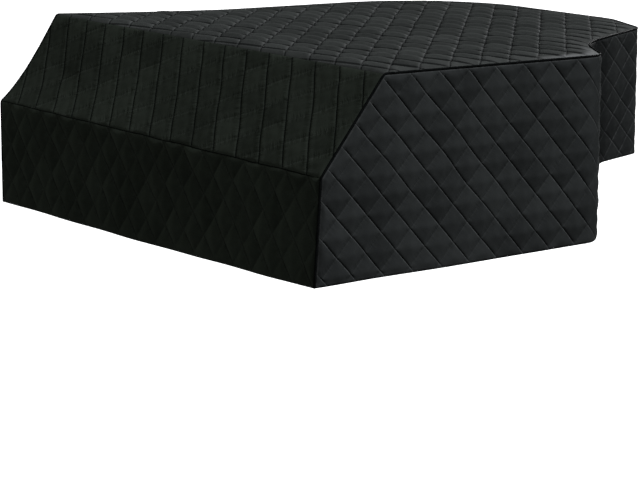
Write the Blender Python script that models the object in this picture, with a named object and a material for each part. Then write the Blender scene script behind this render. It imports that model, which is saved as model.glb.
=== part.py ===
"""Grand piano cover: a quilted, fitted cloth cover in the shape in which it hangs.

Metres, +Z up. The origin lies on the inner face of the top, on the middle of the width and
halfway between front and tail. +X is the straight side, -Y is the front.
The cover is open below: four skirt walls, a sloping panel and a front skirt hang from the top.
Each panel is one sheet with its quilting raised, and one piping runs round the top and down
the slope and the front corners.
"""
import math

import bmesh
import bpy
from mathutils import Vector

# Overall sizes. Heights are above the floor that the covered object stands on.
HALF_WIDTH = 0.750
CLOTH = 0.003
TOP_HEIGHT = 0.997
INNER_TOP_HEIGHT = TOP_HEIGHT - CLOTH
ORIGIN_DEPTH = 0.750
FOLD_DEPTH = 0.177
CREASE_HEIGHT = 0.779
CREASE_TILT = 0.007
LEFT_SAG = 0.012
LEFT_LIFT = 0.017
LIFT_REACH = 0.570
LIFT_POWER = 1.3
LIFT_STEP = 0.080
HEM_SAG = 0.007

# Quilting: loft of a diamond's middle over its stitch lines, and the flattened strip at a seam.
LOFT = 0.0055
SEAM_STRIP = 0.012

# Piping in the seams, and the clearance that sewn pieces keep.
GAP = 0.0003
PIPING_RADIUS = 0.0035
PIPING_SIDES = 8
PIPING_INSET = 0.0005
PIPING_BEND = 0.004
CLEAR_BEND = math.radians(12.0)
PANEL_INSET = PIPING_INSET + PIPING_RADIUS + GAP
WALL_DROP = 0.0041
WALL_TOP = CLOTH - WALL_DROP
PIPING_DROP = WALL_DROP - PIPING_RADIUS - GAP

# Plan of the top, from the straight side's front corner round the tail to the left front corner.
# Columns: distance to the right of the middle, distance behind the front, corner radius.
PLAN = (
    (0.750, 0.000, 0.000),
    (0.757, 0.836, 0.075),
    (0.523, 0.987, 0.450),
    (0.322, 1.362, 0.030),
    (0.105, 1.463, 0.180),
    (-0.713, 1.523, 0.360),
    (-0.750, 0.000, 0.000),
)

# Hem of the walls. Columns: share of the way from plan corner to plan corner, hem height.
# A whole number is a corner of PLAN, and 1.5 lies halfway between corners 1 and 2.
HEM = (
    (0.0, 0.521),
    (1.0, 0.537),
    (1.2, 0.548),
    (2.0, 0.655),
    (2.35, 0.669),
    (3.0, 0.656),
    (5.0, 0.656),
    (5.25, 0.650),
    (5.5, 0.548),
    (5.6, 0.535),
    (6.0, 0.505),
)

# Quilting of each panel as two families of straight stitch lines in the panel's own plane.
# Columns: angle of the first family in degrees from the panel's width, its spacing, its shift;
# then the same for the second family. A shift is one line's distance from the panel's zero.
QUILTING = {
    "top_panel": (-41.2, 0.0674, -0.0629, 9.1, 0.0712, -0.5718),
    "slope_panel": (-53.0, 0.0771, -0.3701, 24.0, 0.0680, -0.0322),
    "front_skirt": (-48.8, 0.0658, -0.2770, 48.8, 0.0658, -0.0846),
    "right_skirt": (-46.9, 0.0613, 0.0600, 46.9, 0.0613, -0.0032),
    "curved_skirt": (-29.5, 0.0618, 0.5362, 31.0, 0.0609, -0.7974),
    "tail_skirt": (-45.0, 0.0610, 0.0050, 45.0, 0.0610, 0.0300),
    "left_skirt": (-46.0, 0.0610, 0.0200, 46.0, 0.0610, 0.0100),
}

ARC_STEP = math.radians(11.0)
ARC_LENGTH_STEP = 0.030
HEM_STEP = 0.060
SAG_STEPS = 8
CUT_SNAP = 0.00002
FLAT_ANGLE = math.radians(0.05)

CLOTH_COLOR = (0.012, 0.013, 0.014, 1.0)
CLOTH_ROUGHNESS = 0.62
PIPING_COLOR = (0.006, 0.006, 0.007, 1.0)
PIPING_ROUGHNESS = 0.42


def clear_scene():
    for old in list(bpy.data.objects):
        bpy.data.objects.remove(old, do_unlink=True)


def material(name, color, roughness):
    made = bpy.data.materials.new(name)
    made.use_nodes = True
    shader = made.node_tree.nodes["Principled BSDF"]
    shader.inputs["Base Color"].default_value = color
    shader.inputs["Roughness"].default_value = roughness
    shader.inputs["Metallic"].default_value = 0.0
    return made


# Plan path: lines and arcs, measured by the length along them.

def plan_pieces():
    """Straight and round pieces of the plan, each with its start length, and corner lengths."""
    corners = [Vector((x, depth - ORIGIN_DEPTH)) for x, depth, radius in PLAN]
    pieces = []
    marks = [0.0]
    start = corners[0]
    length = 0.0
    for index in range(1, len(PLAN) - 1):
        before = (corners[index] - corners[index - 1]).normalized()
        after = (corners[index + 1] - corners[index]).normalized()
        turn = math.atan2(before.x * after.y - before.y * after.x, before.dot(after))
        radius = PLAN[index][2]
        reach = radius * math.tan(abs(turn) / 2.0)
        end = corners[index] - before * reach
        pieces.append(("line", length, start, before, (end - start).length))
        length += (end - start).length
        side = Vector((-before.y, before.x)) * math.copysign(1.0, turn)
        centre = end + side * radius
        pieces.append(("arc", length, centre, end - centre, turn, abs(turn) * radius))
        marks.append(length + abs(turn) * radius / 2.0)
        length += abs(turn) * radius
        start = corners[index] + after * reach
    last = (corners[-1] - start).normalized()
    pieces.append(("line", length, start, last, (corners[-1] - start).length))
    marks.append(length + (corners[-1] - start).length)
    return pieces, marks


PLAN_PIECES, PLAN_MARKS = plan_pieces()
PLAN_LENGTH = PLAN_MARKS[-1]


def turned(vector, angle):
    cosine, sine = math.cos(angle), math.sin(angle)
    return Vector((vector.x * cosine - vector.y * sine, vector.x * sine + vector.y * cosine))


def plan_at(length):
    """Point on the plan and its outward normal at a length along the path."""
    chosen = PLAN_PIECES[0]
    for piece in PLAN_PIECES:
        if piece[1] <= length:
            chosen = piece
    if chosen[0] == "line":
        direction = chosen[3]
        return chosen[2] + direction * (length - chosen[1]), Vector((direction.y, -direction.x))
    centre, spoke, turn, arc = chosen[2:]
    now = turned(spoke, turn * (length - chosen[1]) / arc)
    return centre + now, now.normalized() * math.copysign(1.0, turn)


def plan_stations():
    """Lengths at which the plan is sampled: ends of lines, steps round arcs and up the left."""
    stations = [0.0]
    for piece in PLAN_PIECES:
        if piece[0] == "line":
            steps = math.ceil(piece[4] / LIFT_STEP) if piece is PLAN_PIECES[-1] else 1
            stations.extend(piece[1] + piece[4] * step / steps for step in range(1, steps + 1))
            continue
        turn, arc = abs(piece[4]), piece[5]
        steps = max(math.ceil(turn / ARC_STEP), math.ceil(arc / ARC_LENGTH_STEP))
        stations.extend(piece[1] + arc * step / steps for step in range(1, steps + 1))
    return stations


def mark(share):
    """Length along the plan of a fractional corner number."""
    whole = min(int(share), len(PLAN_MARKS) - 2)
    return PLAN_MARKS[whole] + (PLAN_MARKS[whole + 1] - PLAN_MARKS[whole]) * (share - whole)


def hem_height(length):
    """Height of the wall's hem, eased from one row of HEM to the next."""
    rows = [(mark(share), height) for share, height in HEM]
    for (before, low), (after, high) in zip(rows, rows[1:]):
        if length <= after:
            share = max(0.0, (length - before) / (after - before))
            return low + (high - low) * share - INNER_TOP_HEIGHT
    return rows[-1][1] - INNER_TOP_HEIGHT


def front_hem(x):
    """Height of the front hem, which hangs a little lower in the middle."""
    share = (x + HALF_WIDTH) / (2.0 * HALF_WIDTH)
    left, right = HEM[-1][1], HEM[0][1]
    return left + (right - left) * share - HEM_SAG * math.sin(math.pi * share) - INNER_TOP_HEIGHT


# The slope and the profile that the side walls follow below it.

FRONT_Y = -ORIGIN_DEPTH
FOLD_Y = FOLD_DEPTH - ORIGIN_DEPTH
SLOPE_LENGTH = math.hypot(FOLD_DEPTH, TOP_HEIGHT - CREASE_HEIGHT)


def side_x(side, y):
    """Plan's X at a depth on the straight part of the right (1) or left (-1) side."""
    piece = PLAN_PIECES[0] if side > 0.0 else PLAN_PIECES[-1]
    start, direction = piece[2], piece[3]
    return start.x + direction.x * (y - start.y) / direction.y


def crease_z(x):
    return CREASE_HEIGHT - CREASE_TILT * x / HALF_WIDTH - INNER_TOP_HEIGHT


def lift(x, y):
    """Height by which the top rises toward its left front corner."""
    across = max(0.0, (HALF_WIDTH - x) / (2.0 * HALF_WIDTH))
    behind = min(1.0, max(0.0, (y - FOLD_Y) / LIFT_REACH))
    return LEFT_LIFT * across * (1.0 - behind) ** LIFT_POWER


def fold_z(x):
    """Height of the stitch lines at the fold between top and slope."""
    return CLOTH + lift(x, FOLD_Y)


def slope_normal(x):
    rise = fold_z(x) - crease_z(x)
    return Vector((0.0, -rise, FOLD_DEPTH)).normalized()


def slope_sag(x, share):
    """Depth by which the slope sags inward: strongest at the left edge, none at the right."""
    return LEFT_SAG * ((HALF_WIDTH - x) / (2.0 * HALF_WIDTH)) ** 2 * math.sin(math.pi * share)


def slope_point(x, share, outward):
    low = Vector((x, FRONT_Y, crease_z(x)))
    high = Vector((x, FOLD_Y, fold_z(x)))
    return low.lerp(high, share) + slope_normal(x) * (outward - slope_sag(x, share))


def profile(side, inset):
    """The slope's edge over a side wall as (Y, Z) points, set in by a distance."""
    x = side * HALF_WIDTH
    normal = slope_normal(x)
    angle = math.atan2(-normal.y, normal.z)
    up_slope = Vector((normal.z, -normal.y))
    inward = Vector((-normal.y, -normal.z))
    crease = Vector((FRONT_Y, crease_z(x)))
    fold = Vector((FOLD_Y, fold_z(x)))
    first = crease + inward * inset + up_slope * (inset * math.tan((math.pi / 2.0 - angle) / 2.0))
    last = fold + inward * inset - up_slope * (inset * math.tan(angle / 2.0))
    points = []
    for step in range(SAG_STEPS + 1):
        share = step / SAG_STEPS
        points.append(first.lerp(last, share) + inward * slope_sag(x, share))
    return points


# Placing a panel's own width, height and outward distance in space.

def place_top(u, v, outward):
    return Vector((u, v, CLOTH + lift(u, v) + outward))


def place_slope(u, v, outward):
    return slope_point(u, v / SLOPE_LENGTH, outward)


def place_front(u, v, outward):
    return Vector((u, FRONT_Y - outward, v))


def place_wall(u, v, outward):
    point, normal = plan_at(u)
    point = point + normal * outward
    return Vector((point.x, point.y, v))


# Quilted sheets.

def stitch_families(row):
    """Two linear functions of a panel point that are whole numbers on the stitch lines."""
    families = []
    for angle, spacing, shift in (row[:3], row[3:]):
        turn = math.radians(angle)
        across = Vector((-math.sin(turn), math.cos(turn)))
        families.append((across / spacing, shift / spacing))
    return families


def relief(families, point):
    """Height of a diamond over its stitch lines: none on the lines, all of it in the middle."""
    nearest = 0.5
    for across, shift in families:
        value = across.dot(point) - shift
        part = value - math.floor(value)
        nearest = min(nearest, part, 1.0 - part)
    return LOFT * 2.0 * nearest


def distance_to_outline(point, outline):
    nearest = math.inf
    for start, end in zip(outline, outline[1:] + outline[:1]):
        along = end - start
        share = (point - start).dot(along) / along.length_squared
        share = min(1.0, max(0.0, share))
        nearest = min(nearest, (point - start - along * share).length)
    return nearest


def cut_lines(mesh, across, shift, outline):
    """Cut the flat sheet wherever a linear function of its points is a whole number."""
    values = [across.dot(point) - shift for point in outline]
    normal = across.normalized()
    for number in range(math.ceil(min(values)), math.floor(max(values)) + 1):
        foot = normal * ((number + shift) / across.length)
        geometry = mesh.verts[:] + mesh.edges[:] + mesh.faces[:]
        bmesh.ops.bisect_plane(mesh, geom=geometry, dist=CUT_SNAP,
                               plane_co=(foot.x, foot.y, 0.0), plane_no=(normal.x, normal.y, 0.0))


def flat_cut_sheet(outline, families, extra_cuts):
    """One flat sheet in panel coordinates, cut along stitch lines and diamonds' diagonals."""
    mesh = bmesh.new()
    mesh.faces.new([mesh.verts.new((point.x, point.y, 0.0)) for point in outline])
    (first, first_shift), (second, second_shift) = families
    cut_lines(mesh, first, first_shift, outline)
    cut_lines(mesh, second, second_shift, outline)
    cut_lines(mesh, first + second, first_shift + second_shift, outline)
    cut_lines(mesh, first - second, first_shift - second_shift, outline)
    for length in extra_cuts:
        geometry = mesh.verts[:] + mesh.edges[:] + mesh.faces[:]
        bmesh.ops.bisect_plane(mesh, geom=geometry, dist=CUT_SNAP,
                               plane_co=(length, 0.0, 0.0), plane_no=(1.0, 0.0, 0.0))
    bmesh.ops.triangulate(mesh, faces=mesh.faces[:])
    return mesh


def quilted_panel(name, outline, place, look, extra_cuts=(), inner_point=None, flat_inside=False):
    """A closed sheet: quilted outside, plain inside, with a plain rim round its outline."""
    families = stitch_families(QUILTING[name])
    outline = [Vector(point) for point in outline]
    mesh = flat_cut_sheet(outline, families, extra_cuts)
    outer_faces = mesh.faces[:]
    rim_edges = [edge for edge in mesh.edges if len(edge.link_faces) == 1]
    outer_points = {vert: vert.co.to_2d() for vert in mesh.verts}
    copied = bmesh.ops.duplicate(mesh, geom=mesh.verts[:] + mesh.edges[:] + outer_faces)
    inner_of = {vert: copied["vert_map"][vert] for vert in outer_points}
    inner_faces = [item for item in copied["geom"] if isinstance(item, bmesh.types.BMFace)]
    for edge in rim_edges:
        start, end = edge.verts
        mesh.faces.new((start, end, inner_of[end], inner_of[start]))
    for vert, point in outer_points.items():
        faded = min(1.0, distance_to_outline(point, outline) / SEAM_STRIP)
        vert.co = place(point.x, point.y, relief(families, point) * faded)
        inside = inner_point(point) if inner_point else point
        inner_of[vert].co = place(inside.x, inside.y, -CLOTH)
    if flat_inside:
        verts = {vert for face in inner_faces for vert in face.verts}
        edges = {edge for face in inner_faces for edge in face.edges}
        bmesh.ops.dissolve_limit(mesh, angle_limit=FLAT_ANGLE, verts=list(verts), edges=list(edges))
    bmesh.ops.triangulate(mesh, faces=mesh.faces[:])
    return finished(name, mesh, look)


def finished(name, mesh, look):
    """Turn a bmesh into a named object with its material."""
    bmesh.ops.recalc_face_normals(mesh, faces=mesh.faces[:])
    if mesh.calc_volume(signed=True) < 0.0:
        bmesh.ops.reverse_faces(mesh, faces=mesh.faces[:])
    data = bpy.data.meshes.new(name)
    mesh.to_mesh(data)
    mesh.free()
    data.materials.append(look)
    made = bpy.data.objects.new(name, data)
    bpy.context.scene.collection.objects.link(made)
    return made


# The panels.

def mitre(turn_from, turn_to):
    """How far the inner face of a sheet ends short of a seam between two directions."""
    return CLOTH * math.tan(abs(turn_to - turn_from) / 2.0)


SLOPE_ANGLE = math.atan2(TOP_HEIGHT - CREASE_HEIGHT, FOLD_DEPTH)
FOLD_MITRE = mitre(0.0, SLOPE_ANGLE)
CREASE_MITRE = mitre(SLOPE_ANGLE, math.pi / 2.0)
SEAM_HALF = GAP / 2.0
MITRE_REACH = 0.050
SEAM_PAST = 0.012
TIGHT_RADIUS = 0.100


def drawn_back(value, edge, distance):
    """A coordinate moved off a seam's edge by a distance that dies away into the sheet."""
    return value + distance * max(0.0, 1.0 - abs(value - edge) / MITRE_REACH)


def plan_inside(inset, front):
    """Points of the plan behind a depth, set in by a distance."""
    points = []
    for length in plan_stations():
        point, normal = plan_at(length)
        point = point - normal * inset
        if point.y > front:
            points.append(point)
    return points


def top_panel(look):
    front = FOLD_Y + SEAM_HALF
    right = Vector((side_x(1.0, front) - PANEL_INSET, front))
    left = Vector((side_x(-1.0, front) + PANEL_INSET, front))
    outline = [right] + plan_inside(PANEL_INSET, front) + [left]

    def inside(point):
        return Vector((point.x, drawn_back(point.y, front, FOLD_MITRE)))

    return quilted_panel("top_panel", outline, place_top, look, (), inside, True)


def slope_panel(look):
    low, high = SEAM_HALF, SLOPE_LENGTH - SEAM_HALF
    outline = []
    for side, y, v in ((-1.0, FRONT_Y, low), (1.0, FRONT_Y, low), (1.0, FOLD_Y, high), (-1.0, FOLD_Y, high)):
        outline.append((side_x(side, y) - side * PANEL_INSET, v))

    def inside(point):
        lifted = drawn_back(point.y, low, CREASE_MITRE)
        return Vector((point.x, drawn_back(lifted, high, -FOLD_MITRE)))

    return quilted_panel("slope_panel", outline, place_slope, look, (), inside)


def front_skirt(look):
    side = HALF_WIDTH - PANEL_INSET
    steps = round(2.0 * side / HEM_STEP)
    outline = []
    for step in range(steps + 1):
        x = -side + 2.0 * side * step / steps
        outline.append((x, front_hem(x)))
    outline.append((side, crease_z(side) - SEAM_HALF))
    outline.append((-side, crease_z(-side) - SEAM_HALF))

    def inside(point):
        edge = crease_z(point.x) - SEAM_HALF
        return Vector((point.x, drawn_back(point.y, edge, -CREASE_MITRE)))

    return quilted_panel("front_skirt", outline, place_front, look, (), inside)


def small_arc_cuts(start, end):
    """Lengths at which a wall is cut upright where it turns a tight corner."""
    cuts = []
    for piece in PLAN_PIECES:
        if piece[0] == "arc" and piece[5] < TIGHT_RADIUS * abs(piece[4]):
            low, high = piece[1] - CUT_SNAP, piece[1] + piece[5] + CUT_SNAP
            cuts.extend(length for length in plan_stations() if low <= length <= high)
    return [length for length in cuts if start < length < end]


def hem_points(start, end):
    """Hem of a wall from its end back to its start, with the rows of HEM as points."""
    lengths = {start, end}
    lengths.update(mark(share) for share, height in HEM if start < mark(share) < end)
    return [(length, hem_height(length)) for length in sorted(lengths, reverse=True)]


def right_skirt(look, end):
    slanted = [(y - FRONT_Y, z) for y, z in profile(1.0, WALL_DROP)]
    outline = slanted + [(end, WALL_TOP)] + hem_points(WALL_DROP, end)
    return quilted_panel("right_skirt", outline, place_wall, look, small_arc_cuts(0.0, end))


def left_skirt(look, start):
    slanted = [(PLAN_LENGTH - (y - FRONT_Y), z) for y, z in profile(-1.0, WALL_DROP)]
    level = [(start, WALL_TOP)]
    for length in plan_stations():
        point = plan_at(length)[0]
        if length > start and point.y > FOLD_Y + WALL_DROP:
            level.append((length, WALL_TOP + lift(point.x, point.y)))
    outline = level + slanted[::-1] + hem_points(start, PLAN_LENGTH - WALL_DROP)
    return quilted_panel("left_skirt", outline, place_wall, look, small_arc_cuts(start, PLAN_LENGTH))


def plain_wall(name, look, start, end):
    outline = [(start, WALL_TOP), (end, WALL_TOP)] + hem_points(start, end)
    return quilted_panel(name, outline, place_wall, look, small_arc_cuts(start, end))


# The piping.

def rounded(points, radius):
    """Path points with each clear bend rounded by a short arc."""
    path = [points[0]]
    for before, corner, after in zip(points, points[1:], points[2:]):
        incoming = (corner - before).normalized()
        outgoing = (after - corner).normalized()
        turn = incoming.angle(outgoing)
        if turn < CLEAR_BEND:
            path.append(corner)
            continue
        reach = radius * math.tan(turn / 2.0)
        first, last = corner - incoming * reach, corner + outgoing * reach
        cut = radius / math.cos(turn / 2.0) - radius
        path.extend((first, corner + (outgoing - incoming).normalized() * cut, last))
    path.append(points[-1])
    return path


def side_edge(side):
    """Piping centres up a front corner and along the slope's edge to the fold."""
    hem = HEM[0][1] if side > 0.0 else HEM[-1][1]
    route = [(FRONT_Y + PIPING_DROP, hem - INNER_TOP_HEIGHT)]
    route.extend(profile(side, PIPING_DROP))
    return [Vector((side_x(side, y) - side * PIPING_INSET, y, z)) for y, z in route]


def piping_path():
    around = [point.to_3d() for point in plan_inside(PIPING_INSET, FOLD_Y)]
    for point in around:
        point.z = CLOTH - PIPING_DROP + lift(point.x, point.y)
    return rounded(side_edge(1.0) + around + side_edge(-1.0)[::-1], PIPING_BEND)


def tube(path, radius, sides):
    """Closed tube with flat ends along a path of points, its rings turned with the path."""
    mesh = bmesh.new()
    rings = []
    across = Vector((1.0, 0.0, 0.0))
    for index, point in enumerate(path):
        before = path[max(index - 1, 0)]
        after = path[min(index + 1, len(path) - 1)]
        incoming = (point - before).normalized() if index else (after - point).normalized()
        outgoing = (after - point).normalized() if index < len(path) - 1 else incoming
        along = (incoming + outgoing).normalized()
        across = (across - along * across.dot(along)).normalized()
        up = along.cross(across)
        ring = []
        for side in range(sides):
            angle = 2.0 * math.pi * (side + 0.5) / sides
            offset = across * math.cos(angle) + up * math.sin(angle)
            ring.append(mesh.verts.new(point + offset * radius))
        rings.append(ring)
    for near, far in zip(rings, rings[1:]):
        for side in range(sides):
            beside = (side + 1) % sides
            mesh.faces.new((near[side], near[beside], far[beside], far[side]))
    mesh.faces.new(rings[0][::-1])
    mesh.faces.new(rings[-1])
    return mesh


def piping(look):
    return finished("piping", tube(piping_path(), PIPING_RADIUS, PIPING_SIDES), look)


def seam_lengths():
    """Where the upright seams between walls lie: just past a corner's round, on its straight."""
    corners = (PLAN_PIECES[1], PLAN_PIECES[5], PLAN_PIECES[9])
    return [arc[1] + arc[5] + SEAM_PAST for arc in corners]


def build():
    clear_scene()
    cloth = material("quilted_cloth", CLOTH_COLOR, CLOTH_ROUGHNESS)
    cord = material("piping_cloth", PIPING_COLOR, PIPING_ROUGHNESS)
    tip_seam, tail_seam, left_seam = seam_lengths()
    top_panel(cloth)
    slope_panel(cloth)
    front_skirt(cloth)
    right_skirt(cloth, tip_seam - SEAM_HALF)
    plain_wall("curved_skirt", cloth, tip_seam + SEAM_HALF, tail_seam - SEAM_HALF)
    plain_wall("tail_skirt", cloth, tail_seam + SEAM_HALF, left_seam - SEAM_HALF)
    left_skirt(cloth, left_seam + SEAM_HALF)
    piping(cord)


build()
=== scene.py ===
"""Looks of the quilted grand piano cover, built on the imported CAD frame.

Each panel is a closed thin sheet whose points follow its own stitch lines, placed on the folds
of its CAD solid. Panel points are (width, height) in the panel's plane, in metres.
"""

import math

import bpy
import numpy as np
from mathutils import Matrix, Vector
from mathutils.geometry import delaunay_2d_cdt


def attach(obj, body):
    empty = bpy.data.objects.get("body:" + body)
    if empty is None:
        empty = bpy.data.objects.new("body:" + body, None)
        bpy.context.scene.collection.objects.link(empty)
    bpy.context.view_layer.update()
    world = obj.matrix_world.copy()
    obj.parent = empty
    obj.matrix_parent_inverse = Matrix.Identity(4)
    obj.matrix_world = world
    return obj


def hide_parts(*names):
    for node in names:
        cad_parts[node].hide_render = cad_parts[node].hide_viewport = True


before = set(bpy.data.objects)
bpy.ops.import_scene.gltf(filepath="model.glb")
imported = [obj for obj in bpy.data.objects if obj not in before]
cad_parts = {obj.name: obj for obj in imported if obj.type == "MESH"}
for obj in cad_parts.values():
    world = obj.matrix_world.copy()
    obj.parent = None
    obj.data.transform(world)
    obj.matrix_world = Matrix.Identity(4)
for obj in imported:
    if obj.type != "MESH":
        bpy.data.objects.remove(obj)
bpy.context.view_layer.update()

# Sizes shared with the CAD source. Heights are above the floor.
HALF_WIDTH = 0.750
CLOTH = 0.003
TOP_HEIGHT = 0.997
INNER_TOP_HEIGHT = TOP_HEIGHT - CLOTH
ORIGIN_DEPTH = 0.750
FRONT_Y = -ORIGIN_DEPTH
FOLD_DEPTH = 0.177
FOLD_Y = FOLD_DEPTH - ORIGIN_DEPTH
CREASE_HEIGHT = 0.779
CREASE_TILT = 0.007
SLOPE_LENGTH = math.hypot(FOLD_DEPTH, TOP_HEIGHT - CREASE_HEIGHT)
LEFT_SAG = 0.012
LEFT_LIFT = 0.017
LIFT_REACH = 0.570
LIFT_POWER = 1.3
SAG_SKEW = 0.75
HEM_SAG = 0.007
HEM_SKEW = 1.5
CORNER_FLARE = 0.017
FLARE_START = 0.300
PIPING_INSET = 0.0005
PANEL_INSET = 0.0037
WALL_DROP = 0.0035
WALL_TOP = CLOTH - WALL_DROP
SEAM_HALF = 0.00015
SEAM_PAST = 0.012

# Plan of the top: distance to the right of the middle, distance behind the front, corner radius.
PLAN = (
    (0.750, 0.000, 0.000),
    (0.757, 0.836, 0.075),
    (0.523, 0.987, 0.450),
    (0.322, 1.362, 0.075),
    (0.105, 1.463, 0.180),
    (-0.713, 1.523, 0.360),
    (-0.750, 0.000, 0.000),
)

# Hem of the walls: share of the way from plan corner to plan corner, hem height.
HEM = (
    (0.0, 0.521),
    (1.0, 0.537),
    (1.2, 0.548),
    (2.0, 0.655),
    (2.35, 0.669),
    (3.0, 0.656),
    (5.0, 0.656),
    (5.25, 0.650),
    (5.5, 0.548),
    (5.6, 0.535),
    (6.0, 0.505),
)

# Stitch lines of each panel: angle in degrees, spacing and shift, for two families.
QUILTING = {
    "top_panel": (-41.2, 0.0674, -0.0629, 9.1, 0.0712, -0.5718),
    "slope_panel": (-53.0, 0.0771, -0.3701, 24.0, 0.0680, -0.0322),
    "front_skirt": (-48.8, 0.0658, -0.2770, 48.8, 0.0658, -0.0846),
    "right_skirt": (-46.9, 0.0613, 0.0600, 46.9, 0.0613, -0.0032),
    "curved_skirt": (-29.5, 0.0618, 0.5362, 31.0, 0.0609, -0.7974),
    "tail_skirt": (-45.0, 0.0610, 0.0050, 45.0, 0.0610, 0.0300),
    "left_skirt": (-46.0, 0.0610, 0.0200, 46.0, 0.0610, 0.0100),
}

# Relief of the quilting: soft pyramids, with a crisp groove along the first family's lines.
# Columns: loft, depth and reach of the crisp groove, how much of it the second family has, the
# distance from a seam at which the full loft is reached, the share of the loft that is left on
# the first family's lines, and how steeply the pyramids rise from them.
RELIEF = {
    "top_panel": (0.0130, 0.0022, 0.0026, 0.80, 0.110, 0.45, 1.4),
    "slope_panel": (0.0040, 0.0020, 0.0024, 0.10, 0.022, 0.00, 1.0),
    "front_skirt": (0.0135, 0.0012, 0.0030, 0.20, 0.024, 0.00, 1.0),
    "right_skirt": (0.0120, 0.0020, 0.0012, 0.00, 0.024, 0.00, 1.0),
    "curved_skirt": (0.0055, 0.0018, 0.0018, 0.80, 0.024, 0.00, 1.0),
    "tail_skirt": (0.0110, 0.0022, 0.0015, 0.20, 0.024, 0.00, 1.0),
    "left_skirt": (0.0110, 0.0022, 0.0015, 0.20, 0.024, 0.00, 1.0),
}
LOFT_CHANGE = 0.30
PYRAMID_POWER = 4.5
SEAM_SHARE = 0.125
FOLD_FLAT = 0.030
HALF_STEPS = (
    (0.0, 0.012, 0.028, 0.055, 0.11, 0.20, 0.30, 0.40, 0.5),
    (0.0, 0.035, 0.09, 0.18, 0.29, 0.39, 0.5),
)
RIM_RADIUS = 0.0015
RIM_FLAT = 0.0003
HEM_WIDTH = 0.008
HEM_STEP = 0.0007
FOLD_RADIUS = 0.016

# Points round a sheet's outline: spacing along it, and distances of the rings inside it.
OUTLINE_SPACING = 0.005
OUTER_RINGS = (0.0003, 0.0009, 0.0016, 0.0040, 0.0070, 0.0084, 0.0100)
INNER_RINGS = (0.0015,)
INNER_SPACING = 0.020


# Plan path: lines and arcs, measured by the length along them.

def plan_pieces():
    """Straight and round pieces of the plan, each with its start length, and corner lengths."""
    corners = [Vector((x, depth - ORIGIN_DEPTH)) for x, depth, radius in PLAN]
    pieces = []
    marks = [0.0]
    start = corners[0]
    length = 0.0
    for index in range(1, len(PLAN) - 1):
        before = (corners[index] - corners[index - 1]).normalized()
        after = (corners[index + 1] - corners[index]).normalized()
        turn = math.atan2(before.x * after.y - before.y * after.x, before.dot(after))
        radius = PLAN[index][2]
        reach = radius * math.tan(abs(turn) / 2.0)
        end = corners[index] - before * reach
        pieces.append(("line", length, start, before))
        length += (end - start).length
        side = Vector((-before.y, before.x)) * math.copysign(1.0, turn)
        centre = end + side * radius
        pieces.append(("arc", length, centre, end - centre, turn, abs(turn) * radius))
        marks.append(length + abs(turn) * radius / 2.0)
        length += abs(turn) * radius
        start = corners[index] + after * reach
    last = (corners[-1] - start).normalized()
    pieces.append(("line", length, start, last))
    marks.append(length + (corners[-1] - start).length)
    return pieces, marks


PLAN_PIECES, PLAN_MARKS = plan_pieces()
PLAN_LENGTH = PLAN_MARKS[-1]
TIP_SEAM, TAIL_SEAM, LEFT_SEAM = (
    PLAN_PIECES[index][1] + PLAN_PIECES[index][5] + SEAM_PAST for index in (1, 5, 9)
)


def plan_at(lengths):
    """Points on the plan and outward normals at lengths along it."""
    lengths = np.asarray(lengths, float)
    points = np.zeros((len(lengths), 2))
    normals = np.zeros((len(lengths), 2))
    starts = [piece[1] for piece in PLAN_PIECES]
    chosen = np.clip(np.searchsorted(starts, lengths, side="right") - 1, 0, len(starts) - 1)
    for index, piece in enumerate(PLAN_PIECES):
        here = chosen == index
        along = lengths[here] - piece[1]
        if piece[0] == "line":
            direction = np.array(piece[3])
            points[here] = np.array(piece[2]) + np.outer(along, direction)
            normals[here] = (direction[1], -direction[0])
            continue
        spoke, turn, arc = piece[3], piece[4], piece[5]
        angle = math.atan2(spoke.y, spoke.x) + turn * along / arc
        outward = np.stack([np.cos(angle), np.sin(angle)], axis=1)
        points[here] = np.array(piece[2]) + outward * spoke.length
        normals[here] = outward * math.copysign(1.0, turn)
    return points, normals


def side_x(side, y):
    """Plan's X at a depth on the straight part of the right (1) or left (-1) side."""
    piece = PLAN_PIECES[0] if side > 0.0 else PLAN_PIECES[-1]
    return piece[2].x + piece[3].x * (y - piece[2].y) / piece[3].y


def mark(share):
    """Length along the plan of a fractional corner number."""
    whole = min(int(share), len(PLAN_MARKS) - 2)
    return PLAN_MARKS[whole] + (PLAN_MARKS[whole + 1] - PLAN_MARKS[whole]) * (share - whole)


def hem_height(lengths):
    rows = [(mark(share), height - INNER_TOP_HEIGHT) for share, height in HEM]
    return np.interp(lengths, [row[0] for row in rows], [row[1] for row in rows])


def front_hem(x):
    share = (x + HALF_WIDTH) / (2.0 * HALF_WIDTH)
    left, right = HEM[-1][1], HEM[0][1]
    sag = HEM_SAG * np.sin(np.pi * share ** HEM_SKEW)
    return left + (right - left) * share - sag - INNER_TOP_HEIGHT


def crease_z(x):
    return CREASE_HEIGHT - CREASE_TILT * x / HALF_WIDTH - INNER_TOP_HEIGHT


def flare(x, z):
    """Distance by which the front skirt hangs forward toward its lower right corner."""
    top, foot = crease_z(HALF_WIDTH), HEM[0][1] - INNER_TOP_HEIGHT
    return CORNER_FLARE * smooth_step(x, FLARE_START, HALF_WIDTH) * np.clip((top - z) / (top - foot), 0.0, 1.0)


def lift(x, y):
    """Height by which the top rises toward its left front corner."""
    across = np.maximum(0.0, (HALF_WIDTH - x) / (2.0 * HALF_WIDTH))
    behind = np.clip((y - FOLD_Y) / LIFT_REACH, 0.0, 1.0)
    return LEFT_LIFT * across * (1.0 - behind) ** LIFT_POWER


def fold_z(x):
    """Height of the stitch lines at the fold between top and slope."""
    return CLOTH + lift(x, FOLD_Y)


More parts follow.
